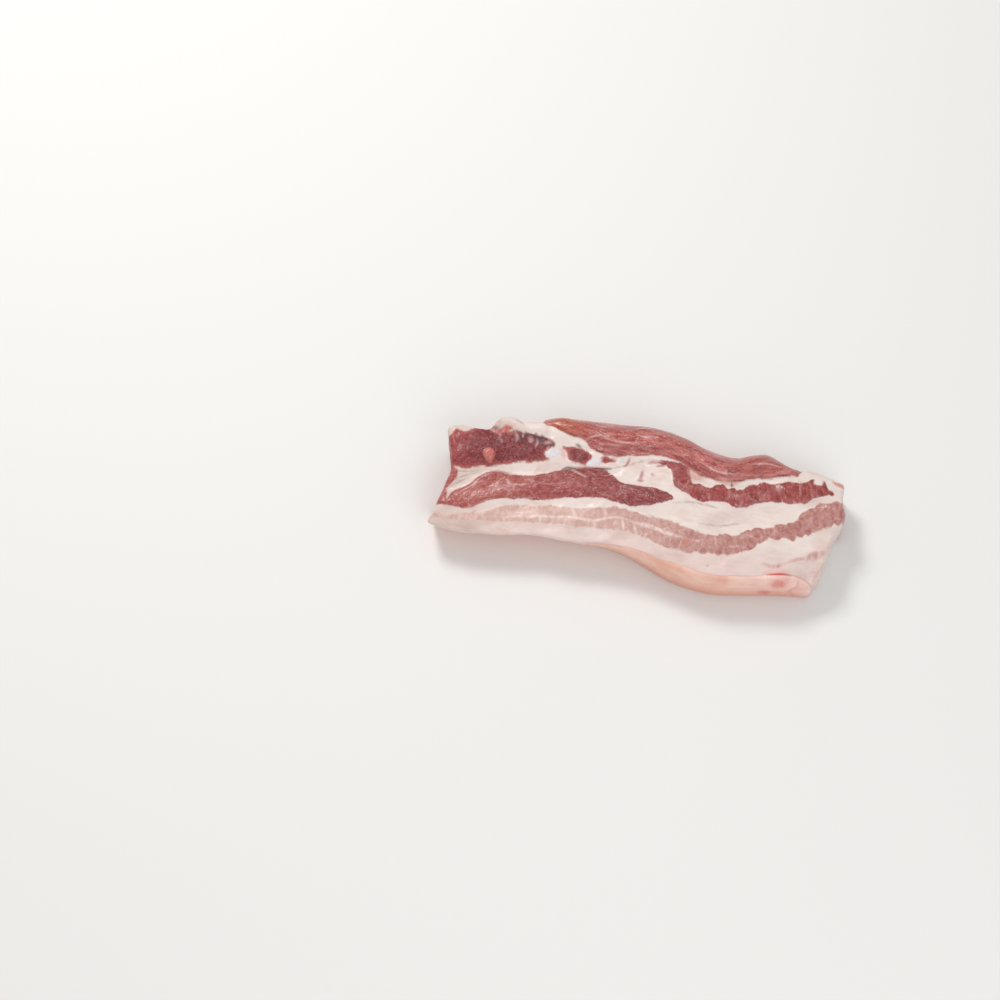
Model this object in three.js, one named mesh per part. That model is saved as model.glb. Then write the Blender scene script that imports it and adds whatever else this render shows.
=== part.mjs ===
// A thick slab of raw pork belly, cut across the belly from the rind to the rib side.
// It lies on one cut face with the other cut face up, the rind along its front edge (-Y)
// and the sawn breastbone at the back left. Rind, fat, lean and bone are grown together,
// so the slab is one solid. Millimetres, +Z up, origin under the middle of the slab.
import * as THREE from 'three';
import { mergeVertices } from 'three/addons/utils/BufferGeometryUtils.js';

// Driving dimensions
const LENGTH = 206; // left cut end to right cut end
const BELLY_DEPTH = 68; // rind to rib side, where the slab is deepest
const SLICE = { frontLeft: 19, frontRight: 23, backLeft: 26, backRight: 22 }; // thickness at the corners
const EDGE_RADIUS = 2.6; // the soft rounding of every cut edge

// How finely the surface is divided along the length, across the belly and through the slice
const STEPS = { length: 76, depth: 24, thickness: 6 };
const CROWDING = { length: 0.3, depth: 0.45, thickness: 0.4 }; // how far the steps draw in to the edges
const MERGE_DISTANCE = 1e-5; // points of the unit box that are closer than this are one

// The rim of the upper cut face, seen from above, in four stretches. Front and back run from
// left to right, the two ends run from the rind to the rib side.
const RIM = {
  front: [
    [-103, -31.5], [-88, -33.8], [-66, -32.2], [-50, -29.8], [-32, -30.4], [-10, -29.3],
    [6, -31.2], [23, -35.6], [42, -38], [62, -35.4], [80, -32.4], [92, -31],
  ],
  back: [
    [-101.8, 20], [-94, 23], [-82, 22.8], [-77.6, 28], [-71.5, 31.2], [-62, 31.4], [-48, 36],
    [-22, 39], [2, 40.2], [15, 38.8], [32, 33], [45, 31.6], [60, 36], [74, 30], [84, 31.4], [101.5, 27.5],
  ],
  left: [[-103, -31.5], [-100, -23.6], [-97, -9], [-95.3, -2], [-96.8, 5.4], [-99.4, 14], [-101.8, 20]],
  right: [[92, -31], [95.7, -22], [98, -11], [99.6, -2], [103.4, 6.5], [101.2, 15], [101.5, 27.5]],
};

// The rind leans in under the upper face over the left part of the length and stands upright at the right.
const RIND = { lean: 11, leansTo: 0.34, uprightFrom: 0.68, bulge: 0.7 };
// The rib side: past the bony end the face rolls over a soft shoulder, and lobes swell between the ribs.
const RIB_SIDE = {
  shoulderDrop: 5.5, shoulderShare: 0.13, bonyEnd: 0.16, softFrom: 0.26, lobePitch: 27, lobeSwell: 1.7,
};
// Powers with which the forms of the rind and of the rib side fade out across the belly
const FADE = { rind: 3, ribs: 9 };
// The front right corner of the face droops where the rind was torn.
const DROOP = { at: [93, -33], reach: 19, depth: 8 };
// Hand-cut unevenness of the upper face
const WAVES = [
  { pitch: [47, 31], shift: [0.9, 0.3], height: 0.55 },
  { pitch: [23, 19], shift: [2.2, 1.4], height: 0.35 },
  { pitch: [13, 11], shift: [0.4, 2.9], height: 0.22 },
];

// Long forms that stand proud of the upper face, or sink into it, each along the middle of a layer
const FORMS = [
  { // inner flank muscle, rolling over to the rib side
    path: [[-44, 31], [-22, 28.5], [0, 30], [18, 28], [31, 22.5], [41, 20.5], [51, 22.5], [61, 26], [72, 25]],
    half: 13, rise: 3.4,
  },
  { // lobed muscle under it, hooked at its left end
    path: [[6, 18.6], [14, 15], [21, 7.5], [35, 5.6], [50, 7], [65, 11.2], [80, 15.3], [93, 17.6]],
    half: 7, rise: 1.5,
  },
  { // dark lens of lean beside the breastbone
    path: [[-96, -21], [-76, -13.5], [-50, -5.8], [-20, 0], [0, -1.6], [13, -0.5]],
    half: 9, rise: 1.3,
  },
  { // pale outer streak next to the rind fat
    path: [[-98, -28], [-78, -26.5], [-50, -20], [-20, -18], [2, -17.4], [22, -20], [42, -21.4], [56, -17.5],
      [70, -8.4], [85, -2], [99, 6]],
    half: 7.5, rise: 0.9,
  },
  { // sawn breastbone
    path: [[-96, 8], [-80, 10.5], [-62, 13.5], [-50, 15.5]],
    half: 10, rise: 1.6,
  },
  { // fat pad on the rib side, behind the breastbone
    path: [[-74.5, 27], [-70, 28], [-64, 26.5], [-54, 26.5]],
    half: 6, rise: 2.6,
  },
  { // furrow under the inner flank muscle
    path: [[-28, 18.5], [-14, 17], [2, 18.6], [17, 17.6], [26, 13.2], [42, 11.6], [56, 16.4], [74, 21.5]],
    half: 4.2, rise: -1.7,
  },
  { // crevice between the breastbone's tip and the lens of lean
    path: [[-50, 3.5], [-40, 6.3], [-27, 8.2], [-16, 9.4]],
    half: 4, rise: -1.8,
  },
  { // notch where the bare bone meets the fat pad
    path: [[-80, 27], [-77.5, 22]],
    half: 5, rise: -2.6,
  },
  { // dip of the wide fat seam between the lean layers
    path: [[10, -7], [28, -7], [48, -6.5], [68, 0.5], [88, 9.5]],
    half: 7, rise: -0.9,
  },
];
const PATH_STEPS = 48; // straight pieces that each path is measured along

// Raw belly colour as a whole: pale fat with rosy lean
const MEAT = { color: 0xd9aaa0, roughness: 0.42, metalness: 0 };

const { clamp, lerp, smoothstep } = THREE.MathUtils;

function splineThrough(points) {
  return new THREE.SplineCurve(points.map(([x, y]) => new THREE.Vector2(x, y)));
}

const rim = Object.fromEntries(Object.entries(RIM).map(([side, points]) => [side, splineThrough(points)]));
const forms = FORMS.map(({ path, half, rise }) => ({
  points: splineThrough(path).getSpacedPoints(PATH_STEPS),
  half,
  rise,
}));

// The point of the upper face at a share u of the length and a share v of the belly depth:
// a Coons patch between the four stretches of the rim.
function plan(u, v) {
  const front = rim.front.getPointAt(u);
  const back = rim.back.getPointAt(u);
  const left = rim.left.getPointAt(v);
  const right = rim.right.getPointAt(v);
  const corners = [rim.front.points[0], rim.front.points.at(-1), rim.back.points[0], rim.back.points.at(-1)];
  const across = (key) => lerp(front[key], back[key], v) + lerp(left[key], right[key], u);
  const bilinear = (key) =>
    lerp(lerp(corners[0][key], corners[1][key], u), lerp(corners[2][key], corners[3][key], u), v);
  return new THREE.Vector2(across('x') - bilinear('x'), across('y') - bilinear('y'));
}

// Distance from a point to a path of straight pieces
function distanceToPath(x, y, points) {
  let nearest = Infinity;
  for (let i = 1; i < points.length; i++) {
    const [a, b] = [points[i - 1], points[i]];
    const [dx, dy] = [b.x - a.x, b.y - a.y];
    const share = clamp(((x - a.x) * dx + (y - a.y) * dy) / (dx * dx + dy * dy), 0, 1);
    nearest = Math.min(nearest, Math.hypot(x - a.x - share * dx, y - a.y - share * dy));
  }
  return nearest;
}

// How far the layers' own forms and the uneven cut lift the upper face
function relief(x, y) {
  let height = 0;
  for (const { points, half, rise } of forms) {
    const share = Math.min(1, distanceToPath(x, y, points) / half);
    height += rise * 0.5 * (1 + Math.cos(Math.PI * share));
  }
  for (const { pitch, shift, height: swing } of WAVES) {
    const [ax, ay] = [(2 * Math.PI * x) / pitch[0] + shift[0], (2 * Math.PI * y) / pitch[1] + shift[1]];
    height += swing * Math.sin(ax) * Math.sin(ay);
  }
  const fromCorner = Math.hypot(x - DROOP.at[0], y - DROOP.at[1]);
  return height - DROOP.depth * (1 - smoothstep(fromCorner, 0, DROOP.reach));
}

// Height of the upper face: a slice of uneven thickness, its layers' relief, and the shoulder at the rib side
function topHeight(u, v, x, y) {
  const front = lerp(SLICE.frontLeft, SLICE.frontRight, smoothstep(u, 0, RIND.uprightFrom));
  const back = lerp(SLICE.backLeft, SLICE.backRight, smoothstep(u, 0, 1));
  const soft = smoothstep(u, RIB_SIDE.bonyEnd, RIB_SIDE.softFrom);
  const overShoulder = Math.max(0, (v - 1) / RIB_SIDE.shoulderShare + 1);
  return lerp(front, back, v) + relief(x, y) - soft * RIB_SIDE.shoulderDrop * overShoulder ** 2;
}

// Rounds the edges of the plain box that the slab starts from. The point is in millimetres in that box.
function roundEdges(point, size) {
  const core = point.clone().clamp(
    new THREE.Vector3().addScalar(EDGE_RADIUS),
    size.clone().addScalar(-EDGE_RADIUS),
  );
  return point.sub(core).setLength(EDGE_RADIUS).add(core);
}

// Places a point of the box, given as shares of its length, depth and thickness, on the slab.
const BOX = new THREE.Vector3(LENGTH, BELLY_DEPTH, (SLICE.frontRight + SLICE.backRight) / 2);
function place(point) {
  const share = roundEdges(point.multiply(BOX), BOX).divide(BOX);
  const { x: u, y: v, z: w } = share;
  const at = plan(u, v);
  const height = w * topHeight(u, v, at.x, at.y);
  const atRind = (1 - v) ** FADE.rind;
  const atRibs = v ** FADE.ribs;
  const lean = RIND.lean * (1 - smoothstep(u, RIND.leansTo, RIND.uprightFrom));
  const lobes = Math.sin((2 * Math.PI * at.x) / RIB_SIDE.lobePitch) * Math.sin(Math.PI * w);
  at.y += atRind * (lean * (1 - w) - RIND.bulge * Math.sin(Math.PI * w));
  at.y += atRibs * RIB_SIDE.lobeSwell * lobes;
  return point.set(at.x, at.y, height);
}

// Draws evenly spaced shares in towards 0 and 1, where the rounded edges need more of them.
function crowd(share, amount) {
  return share - (amount * Math.sin(2 * Math.PI * share)) / (2 * Math.PI);
}

function slabGeometry() {
  const box = new THREE.BoxGeometry(1, 1, 1, STEPS.length, STEPS.depth, STEPS.thickness);
  box.deleteAttribute('normal');
  box.deleteAttribute('uv');
  const geometry = mergeVertices(box, MERGE_DISTANCE);
  const position = geometry.getAttribute('position');
  const point = new THREE.Vector3();
  for (let i = 0; i < position.count; i++) {
    point.fromBufferAttribute(position, i).addScalar(0.5); // shares from 0 to 1 along each side
    point.x = crowd(point.x, CROWDING.length);
    point.y = crowd(point.y, CROWDING.depth);
    point.z = crowd(point.z, CROWDING.thickness);
    const placed = place(point);
    position.setXYZ(i, placed.x, placed.y, placed.z);
  }
  geometry.computeBoundingBox();
  const middle = geometry.boundingBox.getCenter(new THREE.Vector3());
  geometry.translate(-middle.x, -middle.y, -geometry.boundingBox.min.z);
  geometry.computeVertexNormals();
  return geometry;
}

const slab = new THREE.Mesh(slabGeometry(), new THREE.MeshStandardMaterial(MEAT));
slab.name = 'pork_belly_slab';

const part = new THREE.Group();
part.add(slab);

export default part;
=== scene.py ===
"""A raw pork belly slab lying on a cut face: rind, fat, lean layers and a sawn piece of breastbone."""
import itertools
import math

import bmesh
import bpy
import numpy as np
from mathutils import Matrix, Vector


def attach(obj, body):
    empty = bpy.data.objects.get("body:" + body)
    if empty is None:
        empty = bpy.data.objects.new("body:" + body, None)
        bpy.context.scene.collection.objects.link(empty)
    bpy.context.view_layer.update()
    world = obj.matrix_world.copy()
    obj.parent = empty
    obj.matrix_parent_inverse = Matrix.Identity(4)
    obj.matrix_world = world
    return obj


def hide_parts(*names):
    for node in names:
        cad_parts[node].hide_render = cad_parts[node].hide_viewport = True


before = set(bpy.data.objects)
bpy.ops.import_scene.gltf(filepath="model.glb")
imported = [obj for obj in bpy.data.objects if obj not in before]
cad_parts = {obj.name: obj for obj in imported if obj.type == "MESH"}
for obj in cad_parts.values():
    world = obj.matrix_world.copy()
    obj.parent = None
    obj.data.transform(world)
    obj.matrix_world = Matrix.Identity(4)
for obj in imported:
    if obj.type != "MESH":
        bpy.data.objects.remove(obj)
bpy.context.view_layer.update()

NODE = "pork_belly_slab"
PIECE = "belly_slab"  # the piece that replaces the node
MM = 0.001

# Unless a comment says otherwise, lengths are millimetres and colours are sRGB from 0 to 255.
# A range of four runs from one value to another, and its last two numbers are the shares at either.

# Refinement of the CAD solid
MERGE_DISTANCE = 0.001  # points that are closer than this are one
FINE_CUTS = 4  # new points on every edge that can be seen
UNDERSIDE_CUTS = 1  # the same on the flat face it rests on
UNDERSIDE_HEIGHT = 0.1  # edges below this height belong to that face ...
UNDERSIDE_EDGE = 1.0  # ... and are cut where they are longer than this
SMOOTHING_ROUNDS = 14
SMOOTHING_PULLS = (0.6, -0.61)  # each round pulls in, then pushes nearly as far out
RESTING_ZONE = (0.6, 3.5)  # the relief fades in between these heights

CURVE_STEPS = 5  # straight pieces between two points of an outline or a path
# Layers of the cut face as closed outlines seen from above. They run through the whole slice, so an outline
# that reaches an end or the rib side carries on past it.
LAYERS = {
    "streak": [  # pale outer lean, next to the rind fat
        (-108, -26.5), (-96, -27.5), (-88, -26.5), (-76, -22.5), (-63.5, -17.5), (-51, -15.5),
        (-43.5, -13.5), (-30, -13), (-23.5, -11.5), (-7.5, -9.5), (9, -11.5), (15.5, -11.5), (22, -13.5),
        (32, -15.5), (38.5, -16.5), (43, -14.5), (51, -14), (54.5, -10), (64.5, -8), (69, -6), (78, -1),
        (80.5, 4.5), (90, 10.5), (95, 12), (108, 12.5), (108, 3), (100.5, 1), (93, -4), (86, -8.5),
        (81, -10.5), (78.5, -12.5), (70, -13.5), (65.5, -15), (58.5, -21.5), (51, -25.5), (43.5, -27),
        (16.5, -27.5), (6, -24.5), (-5.5, -22), (-30, -24), (-45.5, -24.5), (-71.5, -27), (-86, -29.5),
        (-95.5, -29.5), (-108, -28.5),
    ],
    "lens": [  # dark lens of lean below the breastbone, running up the left end
        (-108, -21), (-108, -2.5), (-93, -2.5), (-93, -8), (-96, -13), (-96, -16.5), (-95, -20), (-93, -15),
        (-86, -10), (-80.5, -4), (-74.5, -1.5), (-56, 0), (-40.5, 6), (-29, 9), (-18.5, 9.5), (-11.5, 4.5),
        (-6, 3.5), (1.5, 3.5), (9.5, 3), (16.5, -0.5), (6.5, -5.5), (-5, -8), (-17, -6.5), (-31, -8),
        (-49, -12), (-69, -15.5), (-78, -19), (-82.5, -22), (-88.5, -23), (-97, -23),
    ],
    "lobed": [  # hooked muscle made of lobes, right
        (3.5, 18), (10, 20), (16, 20), (21.5, 18), (24, 14.5), (25, 10.5), (28.5, 11), (33, 9.5),
        (40.5, 11.5), (42.5, 10.5), (46, 11), (48, 10), (57, 15.5), (65.5, 17), (78, 19.5), (84, 22.5),
        (85, 20), (89, 19.5), (89.5, 23.5), (91, 23), (93, 18.5), (95.5, 15.5), (87.5, 12), (80, 8), (67, 6),
        (56.5, 2.5), (49, -0.5), (42.5, 1), (33, 0.5), (20, 3.5), (15.5, 6.5), (13.5, 12), (12, 15.5),
        (8, 17),
    ],
    "muscle": [  # inner flank muscle along the rib side
        (-55, 31.5), (-47.5, 26.5), (-40, 23.5), (-33, 22.5), (-28, 19), (-21.5, 17.5), (-14.5, 17.5),
        (-5, 19.5), (8.5, 21), (18.5, 18.5), (25, 15.5), (30, 13.5), (43.5, 13), (56.5, 17.5), (65, 19),
        (73.5, 22), (77.5, 25.5), (78, 60), (-56, 60),
    ],
    "bone": [  # sawn breastbone, back left
        (-108, 14), (-99.5, 14.5), (-97.5, 18), (-92.5, 17.5), (-84.5, 22.5), (-77.5, 21), (-72.5, 22.5),
        (-69.5, 21), (-54.5, 22), (-47.5, 19.5), (-47, 17.5), (-50.5, 12.5), (-48.5, 10), (-57, 7),
        (-65.5, 5), (-74.5, 2), (-81.5, 0), (-93.5, -2.5), (-108, -2),
    ],
    "bone_tip": [
        (-42.5, 18.5), (-35.5, 19), (-29.5, 18), (-27, 15.5), (-29, 12), (-31.5, 10), (-38, 11), (-40, 16),
    ],
    "bone_speck": [(-22, 15), (-20, 16.5), (-15.5, 15.5), (-20.5, 13)],
    "gristle_left": [(-50.5, 12.5), (-48.5, 15), (-45.5, 16), (-42.5, 15), (-44.5, 12), (-47.5, 10.5)],
    "gristle_right": [(-29, 10), (-28, 13), (-23.5, 15.5), (-22.5, 14.5), (-23.5, 12), (-26.5, 10)],
    "gristle_far": [(-14.5, 16), (-13, 17), (-10.5, 17), (-10.5, 15.5), (-12, 14), (-14, 14.5)],
    "nub": [(-81.5, 7.5), (-78.5, 10), (-75.5, 8), (-76, 4), (-77.5, 3), (-80, 4.5)],
    "corner_lean": [(94, 24), (96, 24.5), (108, 24), (108, 21.5), (97.5, 21.5)],
    "flesh": [(-77, 20), (-74.5, 22.5), (-71.5, 23.5), (-69.5, 22.5), (-71.5, 20.5), (-75, 18.5)],
    "streak_fleck": [(25, -24.5), (26.5, -24), (27.5, -22), (26.5, -21.5), (25.5, -22.5)],
    "rind_lip": [  # where the rind reaches over the front edge onto the cut face
        (-26, -32.5), (-14, -30.5), (-5, -30), (6, -31.5), (12, -33.5), (22.5, -35), (31, -36.5),
        (36, -37.5), (44.5, -37.5), (61, -35), (69.5, -32.5), (79.5, -30.5), (84.5, -30.5), (89, -31.5),
        (96, -36), (96, -50), (-26, -50),
    ],
}
# Fields that the shader reads, each the union of these outlines
UNIONS = {
    "streak": ["streak"],
    "lens": ["lens"],
    "lobed": ["lobed"],
    "muscle": ["muscle"],
    "bone": ["bone", "bone_tip", "bone_speck"],
    "gristle": ["gristle_left", "gristle_right", "gristle_far"],
    "nub": ["nub"],
    "flesh": ["flesh", "corner_lean", "streak_fleck"],
}
# Below the cut face the layers drift sideways: how far, over what lengths, and from what height down to
# what depth the drift grows. Its two directions are read far apart in the noise, so they differ.
DRIFT = {"reach": 4.5, "size": (15.0, 15.0, 10.0), "top": 24.0, "depth": 15.0, "apart": 40.0}
CUT_FACE = (0.2, 0.8)  # upward part of the normal: off the cut face, and on it
FLESH_FLOOR = 19.0  # the scraps of flesh lie on the cut face and thin out below this height

# Marks finer than a layer, each a path and half its width at the middle
MARKS = {
    "white": [  # fat in and between the lean
        ([(-67, -24), (-53.5, -21.5), (-42, -20.5), (-35, -19), (-21.5, -19), (-16, -17), (-10.5, -15.5),
          (-4, -15.5), (2, -17)], 0.7),
        ([(-5, -15.5), (-1, -17), (4, -17), (7.5, -17.5), (12, -18.5), (15, -19.5), (21, -20.5), (24, -20.5),
          (25, -22.5)], 1.0),
        ([(1, -17), (4.5, -17), (8, -16.5)], 1.3),
        ([(-1, -17), (0.5, -21), (2.5, -24.5)], 0.6),
        ([(6.5, -21), (5, -25)], 0.5),
        ([(10.5, -17.5), (13.5, -18), (16.5, -16.5)], 0.4),
        ([(-34.5, -12), (-32, -15), (-30.5, -19.5)], 0.7),
        ([(-48.5, -20), (-46.5, -25)], 0.5),
        ([(-22, -18.5), (-20, -21), (-20.5, -24)], 0.55),
        ([(-7, -15.5), (-5, -23)], 0.55),
        ([(-36.5, 7), (-31.5, 5.5), (-27, 3)], 0.5),
    ],
    "pale": [  # fainter fat in the lean
        ([(-50.5, -14.5), (-48.5, -20.5)], 0.45),
        ([(-17, -10), (-14.5, -17)], 0.45),
        ([(39.5, -15), (41.5, -23)], 0.45),
        ([(46, -22.5), (53, -20.5), (58, -21.5)], 0.45),
        ([(28.5, -21), (33.5, -21.5)], 0.7),
        ([(-64.5, -6.5), (-60.5, -6.5), (-56, -5)], 0.5),
        ([(-68, -4), (-66, -6), (-65, -8.5)], 0.7),
        ([(-33, 21), (-29.5, 24), (-25, 26), (-20, 26)], 0.45),
        ([(-29.5, 32), (-24.5, 31.5), (-19.5, 32.5)], 0.4),
        ([(-9.5, 32), (-3.5, 35), (4.5, 36.5)], 0.4),
        ([(-7.5, 30), (-2.5, 29), (2.5, 30.5)], 0.4),
        ([(28, 19.5), (34, 17.5), (40.5, 16.5), (47, 17.5)], 0.45),
        ([(-24, 25), (-16, 24), (-4, 25.5)], 0.45),
        ([(52, 24), (60, 25.5), (68, 25)], 0.5),
        ([(2, 17), (5, 18.5), (9, 18.5)], 0.6),
    ],
    "browner_band": [  # browner muscle
        ([(38, 20.5), (48, 23), (58, 26.5), (68, 28), (78, 27)], 5.0),
        ([(-38, 29), (-20, 32), (-4, 34.5), (12, 34), (26, 28.5), (37, 23)], 2.5),
    ],
    "drip": [  # fat hanging down into the membrane of the bone
        ([(-67.5, 21), (-66, 18.5), (-66, 16)], 0.9),
        ([(-60.5, 20), (-59, 18.5), (-59.5, 16.5)], 1.3),
        ([(-56.5, 20), (-55.5, 17.5), (-56, 14)], 0.6),
        ([(-52.5, 17), (-50, 18.5), (-47.5, 18.5)], 1.0),
        ([(-63.5, 21), (-63, 18.5)], 0.5),
        ([(-50.5, 13), (-49, 17)], 0.6),
    ],
    "red": [  # lean in the fat
        ([(-0.5, 13), (-1, 9.5), (-1.5, 5.5)], 0.8),
        ([(-3, 6.5), (-1, 6.5), (1, 6.5)], 0.9),
        ([(3, 11.5), (5.5, 10)], 0.5),
        ([(-80, -4), (-74.5, -1.5), (-64, -0.5)], 0.7),
        ([(-36, 7.5), (-29, 9), (-21.5, 10)], 0.6),
        ([(-11.5, 13), (-9.5, 14), (-8, 18.5)], 0.6),
        ([(-83.5, 24), (-78.5, 22.5), (-75, 20.5)], 1.3),
        ([(1, 16.5), (4, 18), (8, 18)], 0.8),
        ([(5, 15.5), (8, 16.5), (11, 17)], 0.6),
    ],
    "pink": [  # stray lean in the rind fat
        ([(64.5, -27), (69.5, -28), (73.5, -27), (77.5, -24)], 1.1),
        ([(76, -25), (82, -22), (87, -20.5)], 0.8),
        ([(84.5, -21.5), (90.5, -18.5), (95.5, -15.5)], 1.9),
    ],
    "blood": [([(67.5, -33), (72, -32), (77, -31), (81, -30.5)], 0.6)],
    "rosy": [  # stained fat
        ([(65, -33), (72, -31), (80, -29.5)], 2.0),
        ([(79, -30.5), (84, -30), (87.5, -30.5), (91, -32)], 0.7),
        ([(-43, 17.5), (-41.5, 13.5), (-40, 10.5)], 1.2),
        ([(-21, 17.5), (-22, 14), (-23.5, 11)], 1.0),
        ([(-17, 17), (-15, 16), (-15.5, 13.5)], 0.8),
    ],
    "tear": [([(84.5, -31.5), (83, -39)], 0.7)],  # crease of the rind beside its torn corner
    # Their grey colour is painted shade in the cracks and pores.
    "grey": [  # fine cracks and pores in the fat
        ([(16, -3), (26.5, -0.5), (33.5, -1), (46, -2)], 0.45),
        ([(30, -11.5), (37.5, -11), (45, -9.5), (54, -6.5)], 0.45),
        ([(-95.5, -9.5), (-89, -6), (-81.5, -2.5)], 0.45),
        ([(-95, -12.5), (-90.5, -9), (-84, -5)], 0.45),
        ([(-94.5, -4), (-88.5, -3.5), (-81.5, -1.5)], 0.45),
        ([(-20, 9.5), (-15.5, 11), (-10, 13.5), (-3, 17), (4.5, 20)], 0.5),
        ([(-72, 28.5), (-66, 26.5), (-61.5, 23)], 0.5),
        ([(26, -1), (27.5, -0.5)], 0.8),
        ([(70.5, -20), (70.5, -18.5)], 0.5),
        ([(38, -33.5), (39.5, -33)], 0.5),
        ([(33, -11), (34.5, -11)], 0.6),
        ([(-81.5, -23.5), (-79.5, -23.5)], 0.6),
    ],
}
LINE_END = 0.45  # width of a mark at its ends, as a share of its full width
LINE_FADE = (0.3, 1.7)  # a mark fades out between these shares of its half width
# Splits in the cut face: a path, half its width and its depth. Their dark colour is painted shade in the
# split.
SPLITS = [
    ([(-42, 5), (-39, 7), (-33, 8)], 0.5, 1.0),
    ([(-25.5, 9.5), (-21, 10), (-16, 10.5)], 0.5, 1.0),
    ([(-36.5, 20.5), (-33, 18.5)], 0.55, 0.8),
    ([(44, 13), (45, 11)], 0.55, 0.5),
]
# Folds of the inner flank muscle: a path, half its width and its depth. Their dark red colour is painted
# shade in the crease.
FOLDS = [
    ([(13, 21.5), (22, 19), (32, 15.5), (39, 15.5), (45.5, 16), (53, 18.5)], 1.3, 0.6),
    ([(-34, 23.5), (-20, 20.5), (-6, 22.5), (8, 24.5), (20, 23)], 1.2, 0.3),
]
# Blue-grey membrane over the top of the bone: a path and how far it reaches
MEMBRANE = ([(-66, 19.5), (-60, 20), (-54, 19.5), (-48.5, 18)], 3.4)
MEMBRANE_CORE = 0.5  # share of that reach over which it is at its fullest
# Spots of the rind, each a place and a radius: reddened ones, and the torn corner where fat shows through
BLUSHES = [((74.5, -34.5, 18.0), 8.0), ((68.5, -36.5, 8.0), 6.0)]
TORN = [((91.0, -33.0, 9.0), 10.0)]
# The rind begins at this share of a quarter turn from up to outwards, or at the outline of its lip
RIND_EDGE = 0.48
RIND_SLOPE = 0.25  # change of that share for each millimetre beside the lip's outline
RIND_LATER = 0.75  # it begins later by this share at the left, where fat shows over the edge ...
RIND_LATER_ENDS = (-45.0, 15.0)  # ... which fades out between these places along X
RIND_FRONT = (0.2, 0.45)  # how far a face has to look to the front to carry rind ...
RIND_SIDE = (0.3, 0.5)  # ... and how far to either side it may look
RIB_SIDE = (0.7, 0.95)  # how far a face has to look to the back to carry film
# The middle of each layer, along which its fibres run
SPINES = {
    "streak": [
        (-101, -27), (-78, -26), (-50, -19.5), (-22, -17.5), (2, -17), (22, -20), (42, -20.5), (56, -16.5),
        (70, -8.5), (85, -1), (106, 7),
    ],
    "lobed": [
        (4, 19), (12, 18.5), (17.5, 13), (20, 8.5), (28, 6), (38, 5.5), (50, 6.5), (65, 11), (80, 15),
        (96, 20),
    ],
    "muscle": [
        (-52, 34), (-34, 29), (-16, 27), (2, 29.5), (18, 27), (31, 21.5), (42, 19.5), (56, 23.5), (70, 26),
        (84, 28),
    ],
    "lens": [(-98, -22), (-76, -13), (-50, -5.5), (-20, 0), (0, -1.5), (16, -1)],
}
SPINE_REACH = 2.0  # fibres also follow a spine this far outside its layer

# Fine relief: how far each layer stands proud, and the heights of its lumps and of its fibres
SWELL = {
    "muscle": (0.35, 0.0, 0.10),
    "lobed": (0.40, 0.08, 0.0),
    "streak": (0.12, 0.07, 0.0),
    "lens": (0.40, 0.08, 0.03),
    "bone": (0.15, 0.22, 0.0),
    "gristle": (0.5, 0.0, 0.0),
}
SWELL_EDGE = (-0.5, 1.6)  # distances into a layer between which it rises
NUB_RISE = 1.3  # the pale nub on the bone
MUSCLE_FURROW = (0.55, 1.0)  # depth and half width of the furrow round the inner flank muscle
GROOVES = {"white": 0.15, "blood": 0.6, "grey": 0.15}  # depths of the marks that are cut in
TEAR_DEPTH = 0.4
# Heights and sizes of the noise all over, of the rind's, and of the fibres along, across and through it
UNEVEN = [(0.16, 7.0), (0.06, 2.8)]
SKIN = [(0.10, (9.0, 9.0, 3.0)), (0.04, 1.2)]
FIBRES = [(1.0, (18.0, 3.0, 6.0)), (0.45, (9.0, 1.3, 3.0))]
LUMP_SIZE = 2.2
SKIN_EDGE = (0.4, 0.8)  # the rind's own relief fades in between these shares of a quarter turn
SEEDS = {"uneven": 3, "lumps": 5, "fibres": 8, "drift": 13}
LATTICE = 1024  # random numbers in a noise lattice
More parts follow.
